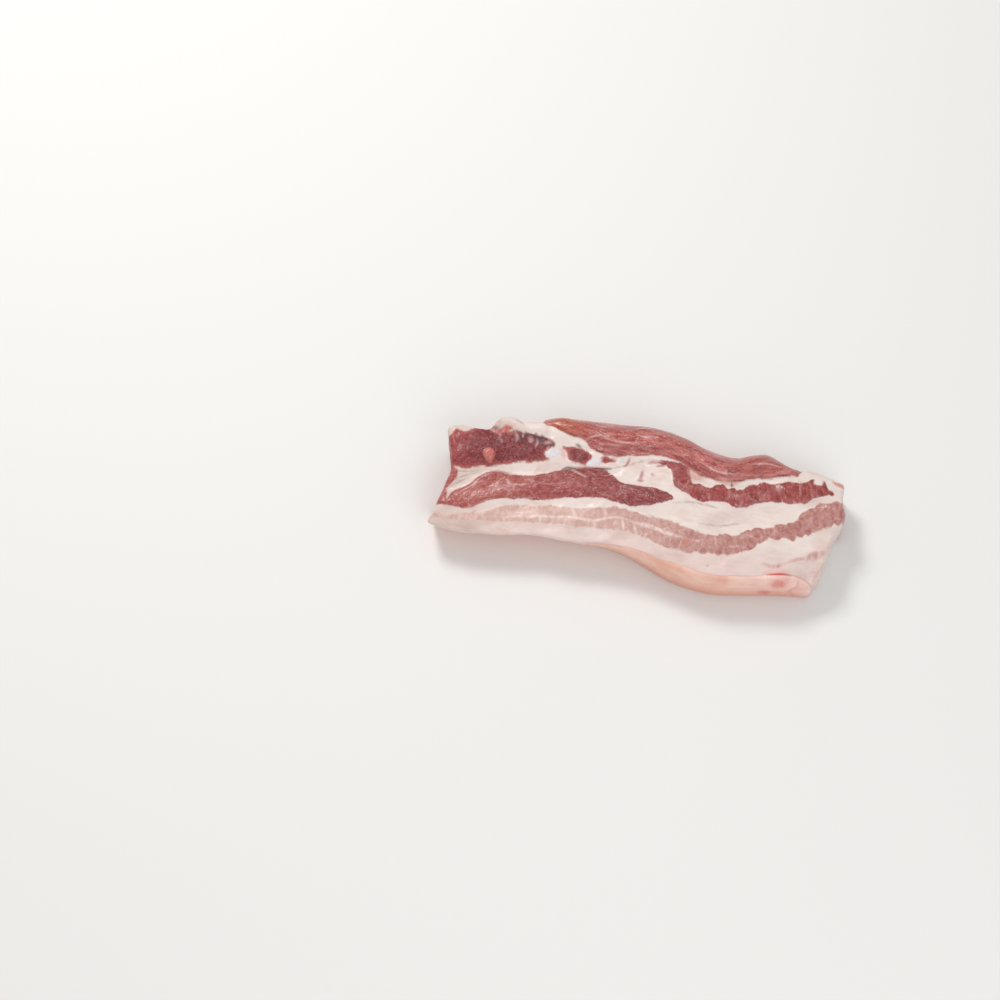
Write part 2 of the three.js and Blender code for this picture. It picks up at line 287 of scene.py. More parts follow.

# Tissues in the order in which they cover each other:
#   left, right: its colours at either end, dark and light of its mottling
#   turn: where along X the left colours give way to the right ones
#   edge, softness: how far its edge wanders widely and finely, and how soft it is
#   mottling: size of its mottling along the grain, across it and through it, unless it is only speckled
#   bundles: size of its bundles the same way, share of fat in their borders, depth of its edge's notches
#   veins: share of fat in its fine veins
#   glint_specks: size of its painted glints, pale specks that stand in for wet highlights, along and across
#       the grain, and their share of the pale fat colour
#   roughness, and bump: heights of its bump from the mottling and from the speckle
PLAIN = {"mottling": None, "bundles": None, "veins": 0.0, "glint_specks": None}
TISSUES = [
    {
        **PLAIN,
        "field": "streak",
        "left": ((203, 162, 151), (219, 186, 176)),
        "right": ((166, 102, 96), (192, 137, 129)),
        "turn": (-50.0, 70.0),
        "edge": (0.4, 0.2),
        "softness": 0.6,
        "mottling": (1.9, 3.4, 3.0),
        "bundles": ((5.5, 7.5, 30.0), 0.16, 1.3),
        "veins": 0.1,
        "glint_specks": (0.8, 0.8, 0.2),
        "roughness": 0.4,
        "bump": (0.10, 0.08),
    },
    {
        **PLAIN,
        "field": "lens",
        "left": ((155, 70, 65), (183, 102, 96)),
        "right": ((122, 48, 50), (160, 81, 80)),
        "turn": (-85.0, 10.0),
        "edge": (0.5, 0.25),
        "softness": 0.45,
        "mottling": (2.4, 1.6, 3.0),
        "veins": 0.2,
        "glint_specks": (0.9, 0.7, 0.3),
        "roughness": 0.36,
        "bump": (0.10, 0.10),
    },
    {
        **PLAIN,
        "field": "lobed",
        "left": ((134, 44, 44), (170, 80, 77)),
        "right": ((134, 48, 46), (170, 84, 80)),
        "turn": (10.0, 90.0),
        "edge": (0.2, 0.2),
        "softness": 0.45,
        "mottling": (1.8, 5.0, 3.0),
        "bundles": ((7.5, 20.0, 30.0), 0.14, 1.2),
        "veins": 0.1,
        "glint_specks": (0.6, 1.8, 0.3),
        "roughness": 0.34,
        "bump": (0.12, 0.08),
    },
    {
        **PLAIN,
        "field": "muscle",
        "left": ((157, 69, 46), (188, 103, 79)),
        "right": ((153, 69, 65), (200, 119, 113)),
        "turn": (-46.0, -26.0),
        "edge": (0.5, 0.2),
        "softness": 0.45,
        "mottling": (7.0, 1.5, 4.0),
        "veins": 0.15,
        "glint_specks": (2.4, 0.6, 0.45),
        "roughness": 0.3,
        "bump": (0.16, 0.10),
    },
    {
        **PLAIN,
        "field": "bone",
        "left": ((136, 38, 39), (174, 72, 69)),
        "right": ((95, 17, 24), (142, 51, 55)),
        "turn": (-102.0, -80.0),
        "edge": (0.8, 0.5),
        "softness": 0.8,
        "mottling": (1.8, 1.8, 1.8),
        "glint_specks": (0.7, 0.7, 0.2),
        "roughness": 0.54,
        "bump": (0.13, 0.12),
    },
    {
        **PLAIN,
        "field": "gristle",
        "left": ((221, 215, 220), (229, 224, 227)),
        "right": ((220, 210, 208), (226, 218, 215)),
        "turn": (-22.0, -16.0),
        "edge": (0.1, 0.2),
        "softness": 0.8,
        "roughness": 0.26,
        "bump": (0.0, 0.02),
    },
    {
        **PLAIN,
        "field": "nub",
        "left": ((192, 102, 94), (206, 124, 114)),
        "right": ((192, 102, 94), (206, 124, 114)),
        "turn": (0.0, 50.0),
        "edge": (0.2, 0.2),
        "softness": 0.5,
        "roughness": 0.28,
        "bump": (0.0, 0.06),
    },
    {
        **PLAIN,
        "field": "flesh",
        "left": ((182, 90, 81), (202, 120, 108)),
        "right": ((208, 134, 117), (222, 158, 141)),
        "turn": (0.0, 50.0),
        "edge": (0.4, 0.4),
        "softness": 0.9,
        "roughness": 0.28,
        "bump": (0.0, 0.06),
    },
]
MOTTLE_SHARE = 0.7  # share of the mottling in a tissue's tone, the rest is speckle
TONE_RANGE = (0.34, 0.66)  # noise at which a tissue is at its darkest and at its lightest
# Painted glints: pale specks that stand in for wet highlights.
GLINT_RANGE = (0.66, 0.78)  # noise at which a fleck begins and is full
GLOSS_SWING = 0.05  # how far the roughness swings with the speckle
EDGE_SWING = 4.0  # brings the noise, which reaches about a quarter to either side, to 1
# Borders between bundles: their width and that of the notches, as shares of a bundle, how far the bundles
# stand out between the notches, as a share of the notches' depth, and where along X they begin to show
BUNDLES = {"border": 0.11, "notch": 0.4, "stand_out": 0.4, "from": (-70.0, -30.0)}
BUNDLE_DISORDER = 0.85  # 0 is an even grid of bundles

# Patterns that the tissues share: their sizes along X, Y and Z, or along, across and through the grain
WANDER = (7.0, 7.0, 10.0)
RUFFLE = (1.7, 1.7, 3.3)
SPECKLE = (0.83, 0.83, 0.83)
CLOUDS = (17.0, 9.0, 10.0)
VEINS = (11.0, 4.5, 6.5)
VEIN_WIDTH = 0.022
VEIN_DETAIL = 1.5
VEIN_WINDING = 0.4
DETAIL = {"none": 0.0, "soft": 1.0, "usual": 2.0, "rich": 3.0}  # finer layers added to a noise
NOISE_MIDDLE = 0.5
NOISE_RANGE = (0.3, 0.7)  # the noise is nearly always between these
# The painted glints gather where the edges wander out.
GATHERED = (-0.08, 0.08, 0.3, 1.0)  # flecks gather where the edges wander out: from, to, share there

# Fat, dark and light of its mottling
FAT = ((221, 198, 189), (234, 219, 212))
# Painted shade on the fat where it turns down, towards the rind and the left end: along which axis, from
# where to where it gives way, and the shaded colours
FAT_SHADE_TURNS = [
    ("Y", (-28.0, -16.0), ((214, 187, 179), (228, 206, 199))),  # pinker towards the rind
    ("X", (-96.0, -56.0), ((201, 173, 163), (219, 198, 189))),  # duller towards the left end
]
FAT_LINES = {"size": (7.0, 1.6, 4.0), "winding": 0.7, "share": 0.25, "bump": 0.04}  # faint lines along it
FAT_RANGE = (0.3, 0.6)  # noise at which the fat is at its darkest and at its lightest
FAT_ROUGHNESS = (0.34, 0.48)
FAT_BUMP = 0.03
# Pale fat, and also the colour of the painted glints.
FAT_VEIN_AND_GLINT = (236, 214, 206)
STRANDS = {"size": (2.0, 7.0, 3.3), "range": (0.38, 0.62, 0.45, 1.0), "colour": (198, 148, 140)}
# Painted shade in the cracks and pores of the fat: size, range and colour
CRACK_SHADE = {"size": (3.3, 3.3, 3.3), "range": (0.36, 0.56, 0.2, 0.7), "colour": (174, 152, 144)}
ROSY = {"share": 0.55, "colour": (224, 160, 152)}

# Marks over the layers: field, share where they are broken and where they are whole, and colour
OVER_LAYERS = [
    # a browner, darker band along the muscle
    ("browner_band", 0.35, 0.5, (142, 58, 50)),
    # painted shade in the folds of the muscle
    ("fold_shade", 0.35, 0.35, (122, 44, 42)),
    ("red", 0.8, 0.8, (158, 82, 78)),
    ("white", 0.45, 0.9, FAT_VEIN_AND_GLINT),
    ("pale", 0.2, 0.5, FAT_VEIN_AND_GLINT),
    ("drip", 0.6, 0.85, (204, 154, 152)),
]
OVER_RIND = [
    ("tear", 0.5, 0.5, (214, 150, 142)),
    ("blood", 0.9, 0.9, (196, 58, 58)),
    # painted shade in the splits of the cut face
    ("split_shade", 0.85, 0.85, (92, 46, 40)),
]
BROKEN = (-0.15, 0.05)  # ruffle at which a mark is broken, and at which it is whole
FILM = {"range": (0.36, 0.6, 0.1, 0.7), "colour": (190, 144, 140)}  # thin film on the rib side

# Sawn bone: curled grain, a redder rim and the membrane
BONE_CURLS = {"size": (1.4, 1.4, 1.4), "width": 0.05, "share": 0.22, "colour": (186, 124, 124)}
BONE_RIM = {"depth": (0.2, 3.0), "share": 0.7, "colour": (188, 98, 90)}
BONE_RIM_BROKEN = (-0.12, 0.12, 0.35, 1.0)
BONE_FILM = {"size": (1.25, 8.3, 3.3), "range": (0.35, 0.6, 0.95, 0.6), "colour": (84, 49, 55)}

# Rind: its colours at the left and at the right, where along X they change, and the painted shade at its
# foot, darker and warmer
RIND_LEFT = ((233, 177, 156), (241, 197, 179))
RIND_RIGHT = ((238, 194, 179), (245, 211, 200))
RIND_TURN = (40.0, 64.0)
RIND_PATCHES = {"size": (20.0, 20.0, 11.0), "range": (0.35, 0.65)}
RIND_FOOT_SHADE = {"heights": (2.0, 16.0), "share": 0.9, "colour": (219, 148, 124)}
RIND_PORES = {"size": (1.1, 1.1, 1.1), "range": (0.66, 0.78, 0.0, 0.25), "colour": (206, 142, 126)}
RIND_CREASES = {"size": (33.0, 5.0, 1.4), "range": (0.56, 0.7, 0.0, 0.2)}
RIND_SCATTER = {"size": (13.0, 13.0, 8.3), "range": (0.6, 0.74, 0.0, 0.25)}
RIND_BLUSH = {"unevenness": 0.8, "range": (0.0, 1.1, 0.0, 0.85), "colour": (214, 104, 98)}
RIND_TORN = {"share": 0.75, "colour": (232, 209, 203)}
RIND_HAIRLINE = {"range": (0.34, 0.42, 0.0, 0.45), "colour": (208, 150, 138)}
RIND_BORDER = (0.42, 0.54)  # shares of a quarter turn between which rind takes over from fat ...
RIND_WANDER = 0.2  # ... and how far the noise moves them
RIND_ROUGHNESS = 0.38
RIND_BUMP = 0.04

# Moist flesh: settings of the shader that are the same all over
MOIST = {
    "Subsurface Weight": 0.12,
    "Subsurface Radius": (1.0, 0.6, 0.5),
    "Subsurface Scale": 1.6 * MM,
    "Coat Weight": 0.1,
    "Coat Roughness": 0.1,
}

# Sockets of a Mix node: its share, its two numbers and its two colours
MIX_SHARE = 0
MIX_NUMBERS = (2, 3)
MIX_COLOURS = (6, 7)

# Studio, in metres and watts
FLOOR_HALF = 30.0
FLOOR_COLOUR = (236, 235, 233)
FLOOR_ROUGHNESS = 0.85
LIGHTS = {
    "key": {"place": (-0.55, 0.58, 0.93), "size": 0.35, "power": 7.0, "tint": (1.0, 0.985, 0.96)},
    "fill": {"place": (0.4, -0.8, 0.7), "size": 0.9, "power": 4.0, "tint": (0.98, 0.99, 1.0)},
}
LIT_POINT = Vector((0.0, 0.0, 0.01))
SURROUND = {"Color": (1.0, 1.0, 1.0, 1.0), "Strength": 0.55}  # the even light from all round

# Camera, in metres and degrees: it looks down on the cut face from the rind side
VIEW = {"azimuth": 10.0, "elevation": 66.0, "distance": 1.25}
LENS = 90.0
SENSOR = 36.0
FACE_POINT = Vector((-1.0, -8.6, 23.0)) * MM  # a point of the cut face ...
FACE_PIXEL = (636.0, 508.0)  # ... and the pixel where it belongs
IMAGE = 1000.0


def smooth(value, low, high):
    """0 below low, 1 above high, and a smooth step between."""
    t = np.clip((value - low) / (high - low), 0.0, 1.0)
    return t * t * (3.0 - 2.0 * t)


def spline(points, closed=False):
    """A Catmull-Rom curve through the points, as a finer row of points."""
    p = np.array(points, float)
    count = len(p)
    spans = count if closed else count - 1
    t = np.linspace(0.0, 1.0, CURVE_STEPS, endpoint=False)[:, None]
    rows = []
    for i in range(spans):
        index = np.arange(i - 1, i + 3)
        a, b, c, d = p[index % count] if closed else p[np.clip(index, 0, count - 1)]
        rows.append(0.5 * (2 * b + (c - a) * t + (2 * a - 5 * b + 4 * c - d) * t**2
                           + (3 * b - a - 3 * c + d) * t**3))
    if not closed:
        rows.append(p[-1:])
    return np.vstack(rows)


def inside_distance(xy, outline):
    """Distance from each point to a closed outline, positive inside it."""
    curve = spline(outline, closed=True)
    nearest = np.full(len(xy), np.inf)
    inside = np.zeros(len(xy), bool)
    for a, b in zip(curve, np.roll(curve, -1, axis=0)):
        along = b - a
        t = np.clip(((xy - a) @ along) / (along @ along), 0.0, 1.0)
        nearest = np.minimum(nearest, np.hypot(*(xy - a - t[:, None] * along).T))
        if a[1] != b[1]:
            crosses = (a[1] > xy[:, 1]) != (b[1] > xy[:, 1])
            meet = a[0] + (xy[:, 1] - a[1]) * (b[0] - a[0]) / (b[1] - a[1])
            inside ^= crosses & (xy[:, 0] < meet)
    return np.where(inside, nearest, -nearest)


def follow(xy, path):
    """How far along an open path each point lies, how far off to its left, and the path's length."""
    curve = spline(path)
    nearest = np.full(len(xy), np.inf)
    along = np.zeros(len(xy))
    across = np.zeros(len(xy))
    travelled = 0.0
    for a, b in zip(curve[:-1], curve[1:]):
        step = b - a
        length = math.hypot(*step)
        t = np.clip(((xy - a) @ step) / length**2, 0.0, 1.0)
        off = xy - a - t[:, None] * step
        distance = np.hypot(*off.T)
        closer = distance < nearest
        side = np.sign(step[0] * (xy[:, 1] - a[1]) - step[1] * (xy[:, 0] - a[0]))
        nearest = np.where(closer, distance, nearest)
        along = np.where(closer, travelled + t * length, along)
        across = np.where(closer, side * distance, across)
        travelled += length
    return along, across, travelled


def line_strength(xy, path, half):
    """1 on a thin path that tapers and fades to its ends, falling to 0 beside it."""
    along, across, length = follow(xy, path)
    taper = np.sin(math.pi * along / length)
    width = half * (LINE_END + (1.0 - LINE_END) * taper)
    full, gone = LINE_FADE
    return np.sqrt(np.abs(taper)) * (1.0 - smooth(np.abs(across), full * width, gone * width))


def strongest(xy, lines):
    """The strongest of several lines at each point."""
    return np.max([line_strength(xy, path, half) for path, half, *_ in lines], axis=0)


def spots(points, places):
    """1 in the middle of each round spot, falling to 0 at its rim."""
    return np.max([1.0 - smooth(np.linalg.norm(points - np.array(at), axis=1), 0.0, reach)
                   for at, reach in places], axis=0)


class ValueNoise:
    """Smooth noise from -1 to 1 on a seeded lattice with a spacing of 1."""

    def __init__(self, seed):
        draw = np.random.default_rng(seed)
        self.order = draw.permutation(LATTICE)
        self.value = draw.uniform(-1.0, 1.0, LATTICE)

    def __call__(self, points):
        cell = np.floor(points).astype(int)
        t = smooth(points - cell, 0.0, 1.0)
        total = np.zeros(len(points))
        for corner in itertools.product((0, 1), repeat=3):
            x, y, z = (cell + corner).T % LATTICE
            key = self.order[(self.order[(self.order[x] + y) % LATTICE] + z) % LATTICE]
            weight = np.prod(np.where(corner, t, 1.0 - t), axis=1)
            total += weight * self.value[key]
        return total

    def layered(self, points, layers):
        """Noise of several heights and sizes, added up."""
        return sum(height * self(points / size) for height, size in layers)


def underside_edges(bm):
    """The edges of the flat face that the slab rests on."""
    return [e for e in bm.edges if max(v.co.z for v in e.verts) < UNDERSIDE_HEIGHT * MM]


def refined(source):
    """Points and triangles of a finer copy of a CAD mesh, with a coarser flat underside."""
    bm = bmesh.new()
    bm.from_mesh(source.data)
    bmesh.ops.remove_doubles(bm, verts=bm.verts, dist=MERGE_DISTANCE * MM)
    flat = set(underside_edges(bm))
    seen = [e for e in bm.edges if e not in flat]
    bmesh.ops.subdivide_edges(bm, edges=seen, cuts=FINE_CUTS, use_grid_fill=True)
    long = [e for e in underside_edges(bm) if e.calc_length() > UNDERSIDE_EDGE * MM]
    bmesh.ops.subdivide_edges(bm, edges=long, cuts=UNDERSIDE_CUTS, use_grid_fill=True)
    bmesh.ops.triangulate(bm, faces=bm.faces)
    bm.verts.index_update()
    points = np.array([v.co for v in bm.verts]) / MM
    faces = np.array([[v.index for v in f.verts] for f in bm.faces])
    bm.free()
    return points, faces


def neighbour_mean(points, faces):
    """The mean of each point's neighbours."""
    pairs = np.vstack([faces[:, [0, 1]], faces[:, [1, 2]], faces[:, [2, 0]]])
    count = np.bincount(pairs[:, 0], minlength=len(points))
    columns = [np.bincount(pairs[:, 0], points[pairs[:, 1], k], len(points)) / count for k in range(3)]
    return np.stack(columns, 1)


def smoothed(points, faces):
    """Evens out the facets without shrinking the slab."""
    for _ in range(SMOOTHING_ROUNDS):
        for pull in SMOOTHING_PULLS:
            points = points + pull * (neighbour_mean(points, faces) - points)
    points[:, 2] = np.maximum(points[:, 2], 0.0)
    return points


def normals_of(points, faces):
    """The direction in which the surface looks at each point."""
    a, b, c = (points[faces[:, k]] for k in range(3))
    flat = np.cross(b - a, c - a)
    total = np.zeros_like(points)
    for k in range(3):
        for axis in range(3):
            total[:, axis] += np.bincount(faces[:, k], flat[:, axis], len(points))
    return total / np.linalg.norm(total, axis=1, keepdims=True)


def rind_share(points, normals):
    """Share of a quarter turn from up to outwards on the rind side. Past RIND_EDGE a point is rind."""
    sideways, back, up = normals.T
    turn = np.arctan2(-back, up) / (0.5 * math.pi)
    later = RIND_LATER * (1.0 - smooth(points[:, 0], *RIND_LATER_ENDS))
    front = smooth(-back, *RIND_FRONT) * (1.0 - smooth(np.abs(sideways), *RIND_SIDE))
    lip = RIND_EDGE + RIND_SLOPE * inside_distance(points[:, :2], LAYERS["rind_lip"])
    return np.maximum((turn - later) * front, np.clip(lip, 0.0, 1.0))


def drifted(points, normals):
    """Where in the outlines each point is looked up: as it lies on the cut face, shifted elsewhere."""
    drift = ValueNoise(SEEDS["drift"])
    off_face = 1.0 - smooth(normals[:, 2], *CUT_FACE)
    below = off_face * smooth(DRIFT["top"] - points[:, 2], 0.0, DRIFT["depth"])
    places = points / DRIFT["size"]
    shift = np.stack([drift(places), drift(places + DRIFT["apart"])], 1)
    return points[:, :2] + DRIFT["reach"] * below[:, None] * shift


def grain_of(points, xy, fields):
    """Each point's place along, across and through the fibres of the layer it is deepest in."""
    grain = points.copy()
    deepest = np.full(len(points), -SPINE_REACH)
    for name, spine in SPINES.items():
        along, across, _ = follow(xy, spine)
        deeper = fields[name] > deepest
        deepest = np.where(deeper, fields[name], deepest)
        grain[deeper] = np.stack([along, across, points[:, 2]], 1)[deeper]
    return grain


def tissue_fields(points, normals):
    """What each point is made of: distances into the layers, marks and fibre directions."""
    xy = drifted(points, normals)
    fields = {}
    for name, outlines in UNIONS.items():
        fields[name] = np.max([inside_distance(xy, LAYERS[o]) for o in outlines], axis=0)
    fields["flesh"] -= np.maximum(0.0, FLESH_FLOOR - points[:, 2])
    fields["grain"] = grain_of(points, xy, fields)
    for name, lines in {**MARKS, "split_shade": SPLITS, "fold_shade": FOLDS}.items():
        fields[name] = strongest(xy, lines)
    path, reach = MEMBRANE
    fields["membrane"] = 1.0 - smooth(np.abs(follow(xy, path)[1]), MEMBRANE_CORE * reach, reach)
    fields["blush"] = spots(points, BLUSHES)
    fields["torn"] = spots(points, TORN)
    fields["rind"] = rind_share(points, normals)
    fields["rib_side"] = smooth(normals[:, 1], *RIB_SIDE)
    fields["place"] = points
    return fields


def relief(points, fields):
    """Height of the fine relief over the smooth slab."""
    uneven = ValueNoise(SEEDS["uneven"])
    fibres = ValueNoise(SEEDS["fibres"]).layered(fields["grain"], FIBRES)
    lumps = ValueNoise(SEEDS["lumps"])(points / LUMP_SIZE)
    height = uneven.layered(points, UNEVEN)
    for name, (rise, lump, strand) in SWELL.items():
        height += smooth(fields[name], *SWELL_EDGE) * (rise + lump * lumps + strand * fibres)
    height += NUB_RISE * smooth(fields["nub"], *SWELL_EDGE)
    depth, half = MUSCLE_FURROW
    height -= depth * np.exp(-(fields["muscle"] / half) ** 2)
    for name, depth in GROOVES.items():
        height -= depth * fields[name]
    for path, half, depth in SPLITS + FOLDS:
        height -= depth * line_strength(points[:, :2], path, half)
    rind = smooth(fields["rind"], *SKIN_EDGE)
    skin = uneven.layered(points, SKIN) - TEAR_DEPTH * fields["tear"]
    height += rind * (skin - height)
    return height * smooth(points[:, 2], *RESTING_ZONE)


def store(mesh, name, values):
    """Keeps one number or one vector for each point on the mesh, for the shader."""
    kind, key = ("FLOAT", "value") if values.ndim == 1 else ("FLOAT_VECTOR", "vector")
    data = mesh.attributes.new(name, kind, "POINT").data
    data.foreach_set(key, values.astype(np.float32).ravel())


def make_slab():
    """The finished slab, with what it is made of stored at each point."""
    points, faces = refined(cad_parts[NODE])
    points = smoothed(points, faces)
    normals = normals_of(points, faces)
    fields = tissue_fields(points, normals)
    shaped = points + normals * relief(points, fields)[:, None]
    shaped[:, 2] = np.maximum(shaped[:, 2], 0.0)
    mesh = bpy.data.meshes.new(PIECE)
    mesh.from_pydata((shaped * MM).tolist(), [], faces.tolist())
    mesh.shade_smooth()
    for name, values in fields.items():
        store(mesh, name, values)
    slab = bpy.data.objects.new(PIECE, mesh)
    bpy.context.scene.collection.objects.link(slab)
    return slab


def linear(colour):
    """An sRGB colour from 0 to 255 as the linear colour that Blender takes."""
    parts = [c / 255.0 for c in colour]
    return (*[c / 12.92 if c <= 0.04045 else ((c + 0.055) / 1.055) ** 2.4 for c in parts], 1.0)


class Shader:
    """Short names for the nodes that a material is built from."""

    def __init__(self, name):
        self.material = bpy.data.materials.new(name)
        self.material.use_nodes = True
        self.tree = self.material.node_tree
        self.tree.nodes.clear()

    def node(self, kind, inputs, **settings):
        made = self.tree.nodes.new(kind)
        for key, value in settings.items():
            setattr(made, key, value)
        for key, value in inputs.items():
            if isinstance(value, bpy.types.NodeSocket):
                self.tree.links.new(value, made.inputs[key])
            else:
                made.inputs[key].default_value = value
        return made

    def surface(self, inputs):
        """Ends the material in one shader."""
        shader = self.node("ShaderNodeBsdfPrincipled", inputs).outputs[0]
        self.node("ShaderNodeOutputMaterial", {"Surface": shader})
        return self.material

    def field(self, name):
        """A number stored on the mesh."""
        return self.node("ShaderNodeAttribute", {}, attribute_name=name).outputs["Fac"]

    def vector(self, name, sizes=(1.0, 1.0, 1.0)):
        """A vector stored on the mesh, measured in the given sizes."""
        read = self.node("ShaderNodeAttribute", {}, attribute_name=name).outputs["Vector"]
        return self.node("ShaderNodeVectorMath", {0: read, 1: sizes}, operation="DIVIDE").outputs[0]

    def along(self, axis):
        """A point's place along X, Y or Z."""
        return self.node("ShaderNodeSeparateXYZ", {0: self.vector("place")}).outputs[axis]

    def math(self, operation, *values):
        return self.node("ShaderNodeMath", dict(enumerate(values)), operation=operation).outputs[0]

    def sum(self, a, b):
        return self.math("ADD", a, b)

    def times(self, a, b):
        return self.math("MULTIPLY", a, b)

    def larger(self, a, b):
        return self.math("MAXIMUM", a, b)

    def step(self, value, low, high, start=0.0, end=1.0):
        """Runs smoothly from start, where the value is low, to end, where it is high."""
        inputs = {"Value": value, "From Min": low, "From Max": high, "To Min": start, "To Max": end}
        return self.node("ShaderNodeMapRange", inputs, interpolation_type="SMOOTHSTEP").outputs[0]

    def noise(self, name, sizes, detail=DETAIL["usual"], distortion=0.0):
        """Noise over a stored vector, in blotches of the given sizes."""
        inputs = {"Vector": self.vector(name, sizes), "Scale": 1.0}
        inputs.update({"Detail": detail, "Distortion": distortion})
        return self.node("ShaderNodeTexNoise", inputs).outputs[0]

    def swing(self, name, sizes, **settings):
        """The same noise, to either side of 0."""
        return self.sum(self.noise(name, sizes, **settings), -NOISE_MIDDLE)

    def veins(self, name, sizes, width):
        """Thin winding lines over a stored vector: 1 on the line, 0 beside it."""
        off = self.swing(name, sizes, detail=VEIN_DETAIL, distortion=VEIN_WINDING)
        return self.step(self.math("ABSOLUTE", off), 0.0, width, 1.0, 0.0)

    def off_border(self, name, sizes):
        """Distance to the nearest border between rounded bundles, as a share of a bundle."""
        inputs = {"Vector": self.vector(name, sizes), "Scale": 1.0, "Randomness": BUNDLE_DISORDER}
        return self.node("ShaderNodeTexVoronoi", inputs, feature="DISTANCE_TO_EDGE").outputs["Distance"]

    def mix(self, share, a, b):
        """Two colours mixed. One that is given as numbers is sRGB."""
        a, b = (linear(c) if isinstance(c, tuple) else c for c in (a, b))
        inputs = {MIX_SHARE: share, **dict(zip(MIX_COLOURS, (a, b)))}
        return self.node("ShaderNodeMix", inputs, data_type="RGBA").outputs["Result"]

    def blend(self, share, a, b):
        """Two numbers mixed."""
        inputs = {MIX_SHARE: share, **dict(zip(MIX_NUMBERS, (a, b)))}
        return self.node("ShaderNodeMix", inputs).outputs[0]


def shared_patterns(s):
    """The patterns that more than one tissue uses."""
    wander = s.swing("place", WANDER, detail=DETAIL["soft"])
    return {
        "wander": wander,
        "ruffle": s.swing("place", RUFFLE, detail=DETAIL["soft"]),
        "speckle": s.noise("place", SPECKLE),
        "clouds": s.noise("place", CLOUDS, detail=DETAIL["rich"]),
        "lines": s.noise("place", FAT_LINES["size"], distortion=FAT_LINES["winding"]),
        "veins": s.veins("grain", VEINS, VEIN_WIDTH),
        "gathered": s.step(wander, *GATHERED),
        "bundled": s.step(s.along("X"), *BUNDLES["from"]),
    }


def fat_colour(s, shared):
    """The fat, with painted shade towards the rind, at the left end and in its cracks, with its stains and
    the strands of lean that stray into it.
    """
    tone = s.step(s.blend(FAT_LINES["share"], shared["clouds"], shared["lines"]), *FAT_RANGE)
    fat = s.mix(tone, *FAT)
    # Painted shade where the fat turns down towards the rind and at the left end.
    for axis, places, colours in FAT_SHADE_TURNS:
        fat = s.mix(s.step(s.along(axis), *places, 1.0, 0.0), fat, s.mix(tone, *colours))
    # Stray strands of lean, and painted shade in the cracks.
    for field, marks in (("pink", STRANDS), ("grey", CRACK_SHADE)):
        broken = s.step(s.noise("place", marks["size"]), *marks["range"])
        fat = s.mix(s.times(s.field(field), broken), fat, marks["colour"])
    return s.mix(s.times(s.field("rosy"), ROSY["share"]), fat, ROSY["colour"])


def bone_markings(s, bone, shared):
    """Curled grain, a redder rim and the blue-grey membrane on the sawn bone."""
    curls = s.veins("place", BONE_CURLS["size"], BONE_CURLS["width"])
    bone = s.mix(s.times(curls, BONE_CURLS["share"]), bone, BONE_CURLS["colour"])
    rim = s.step(s.field("bone"), *BONE_RIM["depth"], BONE_RIM["share"], 0.0)
    rim = s.times(rim, s.step(shared["ruffle"], *BONE_RIM_BROKEN))
    bone = s.mix(rim, bone, BONE_RIM["colour"])
    stripes = s.step(s.noise("place", BONE_FILM["size"]), *BONE_FILM["range"])
    return s.mix(s.times(s.field("membrane"), stripes), bone, BONE_FILM["colour"])


def tissue_colour(s, tissue, tone, borders, shared):
    """The colour inside one tissue, with its fat, markings and painted glints."""
    turn = s.step(s.along("X"), *tissue["turn"])
    lean = s.mix(turn, s.mix(tone, *tissue["left"]), s.mix(tone, *tissue["right"]))
    if borders:
        _, share, _ = tissue["bundles"]
        lean = s.mix(s.times(s.times(borders, shared["gathered"]), share), lean, FAT_VEIN_AND_GLINT)
    if tissue["veins"]:
        lean = s.mix(s.times(shared["veins"], tissue["veins"]), lean, FAT_VEIN_AND_GLINT)
    # Painted glints: pale specks along the grain that stand in for wet highlights.
    if tissue["glint_specks"]:
        length, width, share = tissue["glint_specks"]
        fleck = s.noise("grain", (length, width, width), detail=DETAIL["none"])
        lean = s.mix(s.times(shared["gathered"], s.step(fleck, *GLINT_RANGE, 0.0, share)), lean, FAT_VEIN_AND_GLINT)
    if tissue["field"] == "bone":
        lean = bone_markings(s, lean, shared)
    return lean


def add_tissue(s, look, tissue, shared):
    """Lays one tissue over the look so far."""
    field = s.field(tissue["field"])
    speckle = shared["speckle"]
    mottle = s.noise("grain", tissue["mottling"]) if tissue["mottling"] else speckle
    tone = s.step(s.blend(MOTTLE_SHARE, speckle, mottle), *TONE_RANGE)
    widely, finely = (s.times(shared[name], EDGE_SWING * reach)
                      for name, reach in zip(("wander", "ruffle"), tissue["edge"]))
    edge = s.sum(field, s.sum(widely, finely))
    borders = None
    if tissue["bundles"]:
        sizes, _, notch = tissue["bundles"]
        off = s.off_border("grain", sizes)
        borders = s.times(shared["bundled"], s.step(off, 0.0, BUNDLES["border"], 1.0, 0.0))
        out = notch * BUNDLES["stand_out"]
        edge = s.sum(edge, s.times(shared["bundled"], s.step(off, 0.0, BUNDLES["notch"], out - notch, out)))
    soft = tissue["softness"]
    mask = s.step(edge, -soft, soft)
    look["surface"] = s.mix(mask, look["surface"], tissue_colour(s, tissue, tone, borders, shared))
    rough = tissue["roughness"]
    gloss = s.step(speckle, *NOISE_RANGE, rough - GLOSS_SWING, rough + GLOSS_SWING)
    look["roughness"] = s.blend(mask, look["roughness"], gloss)
    coarse, fine = tissue["bump"]
    heights = s.sum(s.times(mottle, coarse), s.times(speckle, fine))
    look["bump"] = s.blend(s.step(field, -soft, soft), look["bump"], heights)


def add_marks(s, look, marks, shared):
    """Lays marks over the look so far, fainter where they are broken."""
    for field, broken, whole, colour in marks:
        share = s.times(s.field(field), s.step(shared["ruffle"], *BROKEN, broken, whole))
        look["surface"] = s.mix(share, look["surface"], colour)


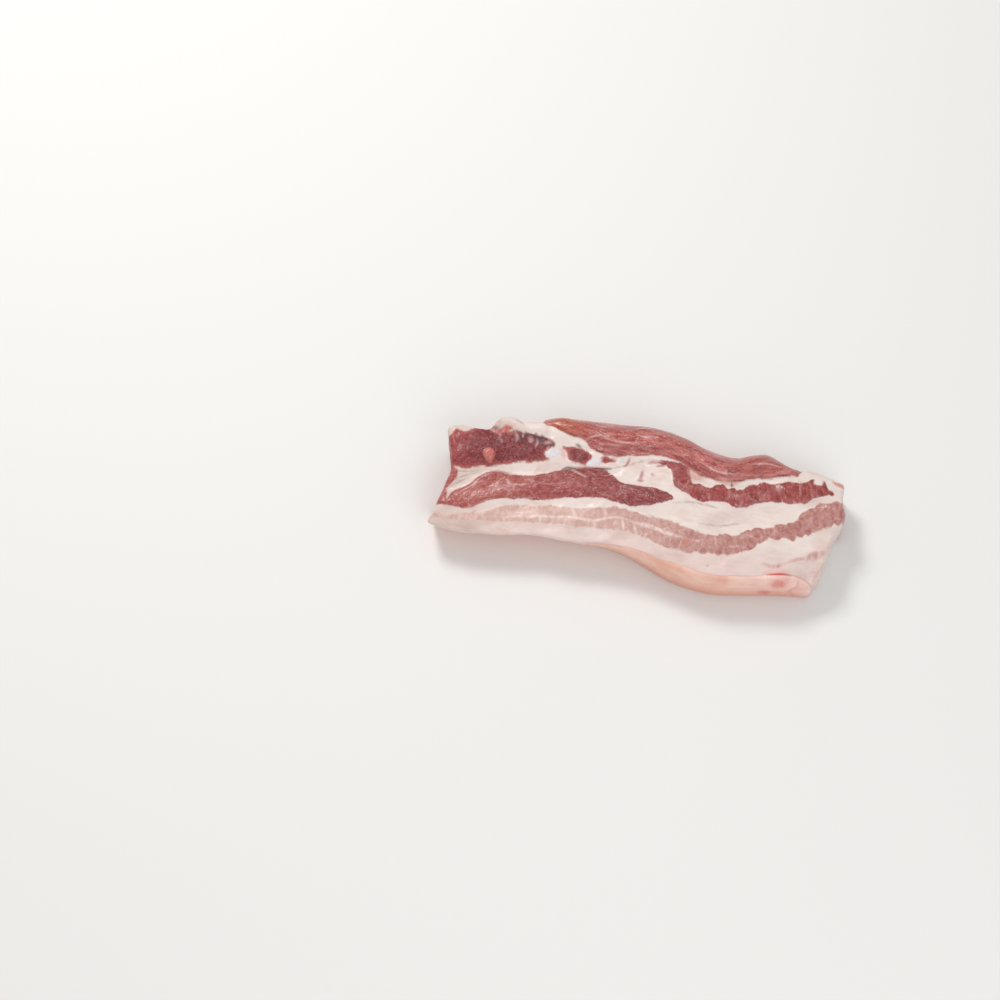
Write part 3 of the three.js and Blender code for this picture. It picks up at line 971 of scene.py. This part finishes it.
def rind_colour(s, shared):
    """The skin: painted shade at its foot, with pores, faint creases, red spots and a torn corner."""
    tone = s.step(s.noise("place", RIND_PATCHES["size"], detail=DETAIL["rich"]), *RIND_PATCHES["range"])
    turn = s.step(s.along("X"), *RIND_TURN)
    skin = s.mix(turn, s.mix(tone, *RIND_LEFT), s.mix(tone, *RIND_RIGHT))
    # Painted shade, darker and warmer towards the floor.
    foot = s.step(s.along("Z"), *RIND_FOOT_SHADE["heights"], RIND_FOOT_SHADE["share"], 0.0)
    skin = s.mix(foot, skin, RIND_FOOT_SHADE["colour"])
    skin = s.mix(s.times(s.field("torn"), RIND_TORN["share"]), skin, RIND_TORN["colour"])
    pores = s.step(s.noise("place", RIND_PORES["size"], detail=DETAIL["none"]), *RIND_PORES["range"])
    creases = s.step(s.noise("place", RIND_CREASES["size"]), *RIND_CREASES["range"])
    skin = s.mix(s.larger(pores, creases), skin, RIND_PORES["colour"])
    scattered = s.step(s.noise("place", RIND_SCATTER["size"]), *RIND_SCATTER["range"])
    uneven = s.times(s.sum(shared["wander"], shared["ruffle"]), RIND_BLUSH["unevenness"])
    blush = s.times(s.field("blush"), s.sum(uneven, 1.0))
    return s.mix(s.larger(scattered, s.step(blush, *RIND_BLUSH["range"])), skin, RIND_BLUSH["colour"])


def add_rind(s, look, shared):
    """Lays the rind over the look so far, with a thin darker line along its border."""
    outward = s.sum(s.field("rind"), s.times(shared["wander"], RIND_WANDER))
    hairline = s.step(outward, *RIND_HAIRLINE["range"])
    bordered = s.mix(hairline, look["surface"], RIND_HAIRLINE["colour"])
    on_rind = s.step(outward, *RIND_BORDER)
    look["surface"] = s.mix(on_rind, bordered, rind_colour(s, shared))
    look["roughness"] = s.blend(on_rind, look["roughness"], RIND_ROUGHNESS)
    look["bump"] = s.blend(on_rind, look["bump"], s.times(shared["speckle"], RIND_BUMP))


def meat_material():
    """Fat is the ground; each layer of lean, the bone and the rind cover it where their fields say so."""
    s = Shader("raw_pork")
    shared = shared_patterns(s)
    look = {
        "surface": fat_colour(s, shared),
        "roughness": s.step(shared["speckle"], *NOISE_RANGE, *FAT_ROUGHNESS),
        "bump": s.sum(s.times(shared["speckle"], FAT_BUMP), s.times(shared["lines"], FAT_LINES["bump"])),
    }
    for tissue in TISSUES:
        add_tissue(s, look, tissue, shared)
    add_marks(s, look, OVER_LAYERS, shared)
    film = s.times(s.field("rib_side"), s.step(shared["clouds"], *FILM["range"]))
    look["surface"] = s.mix(film, look["surface"], FILM["colour"])
    add_rind(s, look, shared)
    add_marks(s, look, OVER_RIND, shared)
    raised = s.node("ShaderNodeBump", {"Strength": 1.0, "Distance": MM, "Height": look["bump"]}).outputs[0]
    inputs = {"Base Color": look["surface"], "Roughness": look["roughness"], "Normal": raised}
    return s.surface({**inputs, **MOIST})


def make_floor():
    mesh = bpy.data.meshes.new("studio_floor")
    corners = [(x * FLOOR_HALF, y * FLOOR_HALF, 0.0) for x, y in ((-1, -1), (1, -1), (1, 1), (-1, 1))]
    mesh.from_pydata(corners, [], [(0, 1, 2, 3)])
    paint = {"Base Color": linear(FLOOR_COLOUR), "Roughness": FLOOR_ROUGHNESS}
    mesh.materials.append(Shader("studio_floor").surface(paint))
    floor = bpy.data.objects.new("studio_floor", mesh)
    bpy.context.scene.collection.objects.link(floor)


def aim(thing, target):
    thing.rotation_euler = (target - thing.location).to_track_quat("-Z", "Y").to_euler()


def make_light(name, place, size, power, tint):
    data = bpy.data.lights.new(name, "AREA")
    data.size = size
    data.energy = power
    data.color = tint
    light = bpy.data.objects.new(name, data)
    light.location = place
    aim(light, LIT_POINT)
    bpy.context.scene.collection.objects.link(light)


def make_studio():
    for name, settings in LIGHTS.items():
        make_light(name, **settings)
    world = bpy.data.worlds.new("studio")
    world.use_nodes = True
    for socket, value in SURROUND.items():
        world.node_tree.nodes["Background"].inputs[socket].default_value = value
    bpy.context.scene.world = world
    bpy.context.scene.view_settings.view_transform = "Standard"


def make_camera():
    """Places the camera so that FACE_POINT lands on FACE_PIXEL."""
    azimuth, elevation = math.radians(VIEW["azimuth"]), math.radians(VIEW["elevation"])
    away = math.cos(elevation)
    back = Vector((math.sin(azimuth) * away, -math.cos(azimuth) * away, math.sin(elevation)))
    right = Vector((math.cos(azimuth), math.sin(azimuth), 0.0))
    up = back.cross(right)
    pixel = VIEW["distance"] * SENSOR / LENS / IMAGE
    across, down = ((place - IMAGE / 2) * pixel for place in FACE_PIXEL)
    target = FACE_POINT - right * across + up * down
    data = bpy.data.cameras.new("camera")
    data.lens = LENS
    data.sensor_width = SENSOR
    camera = bpy.data.objects.new("camera", data)
    camera.location = target + back * VIEW["distance"]
    aim(camera, target)
    bpy.context.scene.collection.objects.link(camera)
    bpy.context.scene.camera = camera


slab = make_slab()
slab.data.materials.append(meat_material())
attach(slab, "root")
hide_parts(NODE)
make_floor()
make_studio()
make_camera()
